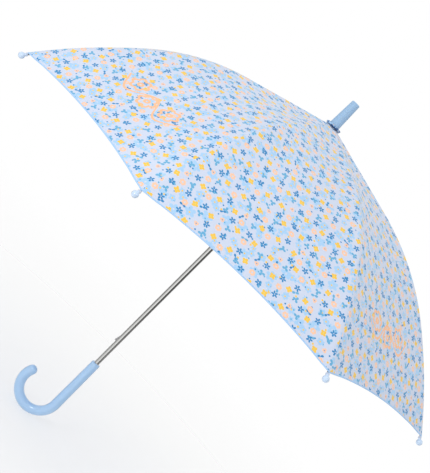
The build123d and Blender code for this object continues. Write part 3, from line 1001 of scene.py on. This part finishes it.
# ---------------------------------------------------------------- finishes of the frame's parts
class UMBRELLA_OT_finishes(bpy.types.Operator):
    """Give the handle, shaft, ribs and fittings their plastics and metals"""
    bl_idname = "umbrella.finishes"
    bl_label = "Frame Finishes"

    def execute(self, context):
        trim = context.scene.umbrella_trim
        steel, zinc, wire = colour(190, 190, 188), colour(186, 188, 192), colour(170, 171, 174)
        finishes = {
            "handle": plastic_finish("handle_plastic", tuple(trim.handle_colour), 0.14, coat=0.8),
            "ferrule": plastic_finish("ferrule_plastic", tuple(trim.ferrule_colour), 0.42, grain=0.08),
            "rib_tip": plastic_finish("tip_plastic", tuple(trim.ball_colour), 0.22, coat=0.4),
            "shaft": metal_finish("shaft_chrome", steel, 0.07, 90.0, (1, 1, 0.02), dull=0.12),
            "rib": metal_finish("rib_steel", zinc, 0.26, 260.0, (0.3, 0.3, 1), dull=0.3),
            "catch": metal_finish("spring_steel", colour(160, 160, 162), 0.22, 300.0),
            "wire": metal_finish("pivot_wire", wire, 0.2, 400.0),
            "fitting": plastic_finish("fitting_plastic", colour(222, 228, 238), 0.38, grain=0.1),
        }
        kinds = {
            "handle": "handle", "ferrule": "ferrule", "shaft": "shaft",
            "top_notch": "fitting", "runner": "fitting",
            "top_notch_wire": "wire", "runner_wire": "wire", "stop_pin": "wire",
            "top_catch_pin": "wire", "bottom_catch_pin": "wire",
            "top_catch": "catch", "bottom_catch": "catch",
        }
        for rib in RIBS:
            kinds |= {f"rib_{rib}": "rib", f"stretcher_{rib}": "rib"}
            kinds |= {f"rib_rivet_{rib}": "wire", f"rib_tip_{rib}": "rib_tip"}
        for node, kind in kinds.items():
            materials = NODES[node].data.materials
            materials.clear()
            materials.append(finishes[kind])
        return {"FINISHED"}


# ---------------------------------------------------------------- stage
class UMBRELLA_OT_stage(bpy.types.Operator):
    """Set up the camera, the floor and the soft light"""
    bl_idname = "umbrella.stage"
    bl_label = "Stage"

    def execute(self, context):
        stage = context.scene.umbrella_stage
        right, up, ahead = self.aim_camera(context, stage)
        self.light_sky(context, stage.sky)
        target = Vector((0, 0, CROWN - stage.aim_below_crown))
        toward = -ahead
        key_side = 1.3 * toward - 0.9 * right + 1.5 * up
        self.add_light("Key", target, key_side, right, (1.1, 1.1), stage.key_power)
        strip_side = 1.5 * toward - 0.1 * right + 0.75 * up
        self.add_light("Strip", target, strip_side, right, (0.55, 0.2), stage.strip_power)
        self.add_floor()
        context.scene.view_settings.view_transform = "Standard"
        return {"FINISHED"}

    def aim_camera(self, context, stage):
        ahead = Vector((0, cos(stage.tilt), -sin(stage.tilt)))
        level_up = Vector((0, sin(stage.tilt), cos(stage.tilt)))
        level_right = Vector((1, 0, 0))
        right = cos(stage.roll) * level_right + sin(stage.roll) * level_up
        up = cos(stage.roll) * level_up - sin(stage.roll) * level_right
        target = Vector((0, 0, CROWN - stage.aim_below_crown))
        data = bpy.data.cameras.new("Camera")
        data.lens = stage.lens
        data.shift_x, data.shift_y = CAMERA_SHIFT
        camera = bpy.data.objects.new("Camera", data)
        context.scene.collection.objects.link(camera)
        turn = Matrix((right, up, -ahead)).transposed().to_4x4()
        camera.matrix_world = Matrix.Translation(target - stage.distance * ahead) @ turn
        context.scene.camera = camera
        return right, up, ahead

    def light_sky(self, context, strength):
        """White where the camera looks straight at it, with grey bands low down for the shaft to mirror."""
        world = bpy.data.worlds.new("Studio")
        context.scene.world = world
        nodes = Nodes(world)
        direction = nodes.node("ShaderNodeTexCoord").outputs["Generated"]
        x, y, z = nodes.node("ShaderNodeSeparateXYZ", sockets={0: direction}).outputs
        bearing = nodes.node("ShaderNodeMath", {"operation": "ARCTAN2"}, {0: y, 1: x}).outputs[0]
        share = nodes.node(
            "ShaderNodeMapRange", sockets={"Value": bearing, "From Min": -pi, "From Max": pi}).outputs[0]
        height = nodes.node("ShaderNodeMapRange", sockets={"Value": z, "From Min": -1}).outputs[0]
        bands = self.greys(nodes, share, (
            (0.0, 0.85), (0.15, 0.9), (0.165, 1.7), (0.30, 1.7), (0.32, 0.08), (0.46, 0.1), (0.52, 0.45),
            (0.73, 0.5), (0.76, 0.12), (0.95, 0.15), (0.985, 0.85), (1.0, 0.85)))
        low_down = self.greys(nodes, height, (
            (0.0, 0), (0.26, 0), (0.33, 1), (0.47, 1), (0.5, 0), (1.0, 0)))
        white = (1, 1, 1)
        sky = nodes.node("ShaderNodeMix", {"data_type": "RGBA"}, {0: low_down, 6: white, 7: bands})
        lit = nodes.node("ShaderNodeBackground", sockets={"Strength": strength, "Color": sky.outputs[2]})
        seen = nodes.node("ShaderNodeBackground", sockets={"Color": white})
        looked_at = nodes.node("ShaderNodeLightPath").outputs["Is Camera Ray"]
        backgrounds = {0: looked_at, 1: lit.outputs[0], 2: seen.outputs[0]}
        both = nodes.node("ShaderNodeMixShader", sockets=backgrounds)
        nodes.node("ShaderNodeOutputWorld", sockets={0: both.outputs[0]})

    @staticmethod
    def greys(nodes, value, stops):
        """A ramp of greys, each stop a place and how bright it is."""
        places = [(place, (grey, grey, grey, 1)) for place, grey in stops]
        return nodes.node("ShaderNodeValToRGB", {"stops": ("LINEAR", places)}, {0: value}).outputs[0]

    def add_light(self, name, target, offset, right, size, power):
        """A soft box that faces the target, with its long side level in the camera's view."""
        data = bpy.data.lights.new(name, "AREA")
        data.shape = "RECTANGLE"
        data.size, data.size_y = size
        data.energy = power
        light = bpy.data.objects.new(name, data)
        bpy.context.scene.collection.objects.link(light)
        back = offset.normalized()
        level = (right - right.dot(back) * back).normalized()
        turn = Matrix((level, back.cross(level), back)).transposed().to_4x4()
        light.matrix_world = Matrix.Translation(target + offset) @ turn

    def add_floor(self):
        """A pale round floor that fades out into the white round it."""
        bpy.ops.object.select_all(action="DESELECT")
        bpy.ops.mesh.primitive_circle_add(
            vertices=96, radius=3.0, fill_type="NGON", location=(0, 0, -0.5 * MM))
        floor = bpy.context.object
        floor.name = "floor"
        bpy.ops.object.transform_apply(location=True, rotation=True, scale=True)
        finish = Finish("pale_floor")
        x, y, _ = finish.parts(finish.place())
        near = 0.5 - 0.5 * ((x * x + y * y).root() / 1.5).least(1)
        underside = Value(finish, finish.node("ShaderNodeNewGeometry").outputs["Backfacing"])
        grain = finish.noise(40.0)
        finish.set(Base_Color=finish.mix(grain * 0.2, (0.98, 0.98, 0.98), (0.94, 0.94, 0.94)), Roughness=0.9,
                   Alpha=near * (1 - underside))
        floor.data.materials.append(finish.material)


# ---------------------------------------------------------------- add-on
PIECES = (
    UMBRELLA_OT_stage, UMBRELLA_OT_finishes, UMBRELLA_OT_canopy, UMBRELLA_OT_crown, UMBRELLA_OT_strap,
    UMBRELLA_OT_threads,
)


class UMBRELLA_PT_panel(bpy.types.Panel):
    """Lists the umbrella's steps"""
    bl_label = "Umbrella"
    bl_idname = "UMBRELLA_PT_panel"
    bl_space_type = "VIEW_3D"
    bl_region_type = "UI"
    bl_category = "Umbrella"

    def draw(self, context):
        for operator in PIECES:
            self.layout.operator(operator.bl_idname)
        for name, settings in SETTINGS.items():
            box = self.layout.box()
            for setting in settings.__annotations__:
                box.prop(getattr(context.scene, name), setting)


def register():
    for cls in (*SETTINGS.values(), *PIECES, UMBRELLA_PT_panel):
        bpy.utils.register_class(cls)
    for name, settings in SETTINGS.items():
        setattr(bpy.types.Scene, name, PointerProperty(type=settings))


def unregister():
    for name in SETTINGS:
        delattr(bpy.types.Scene, name)
    for cls in reversed((*SETTINGS.values(), *PIECES, UMBRELLA_PT_panel)):
        bpy.utils.unregister_class(cls)


def main():
    register()
    bpy.ops.umbrella.stage()
    bpy.ops.umbrella.finishes()
    bpy.ops.umbrella.canopy()
    bpy.ops.umbrella.crown()
    bpy.ops.umbrella.strap()
    bpy.ops.umbrella.threads()


if __name__ == "__main__":
    main()
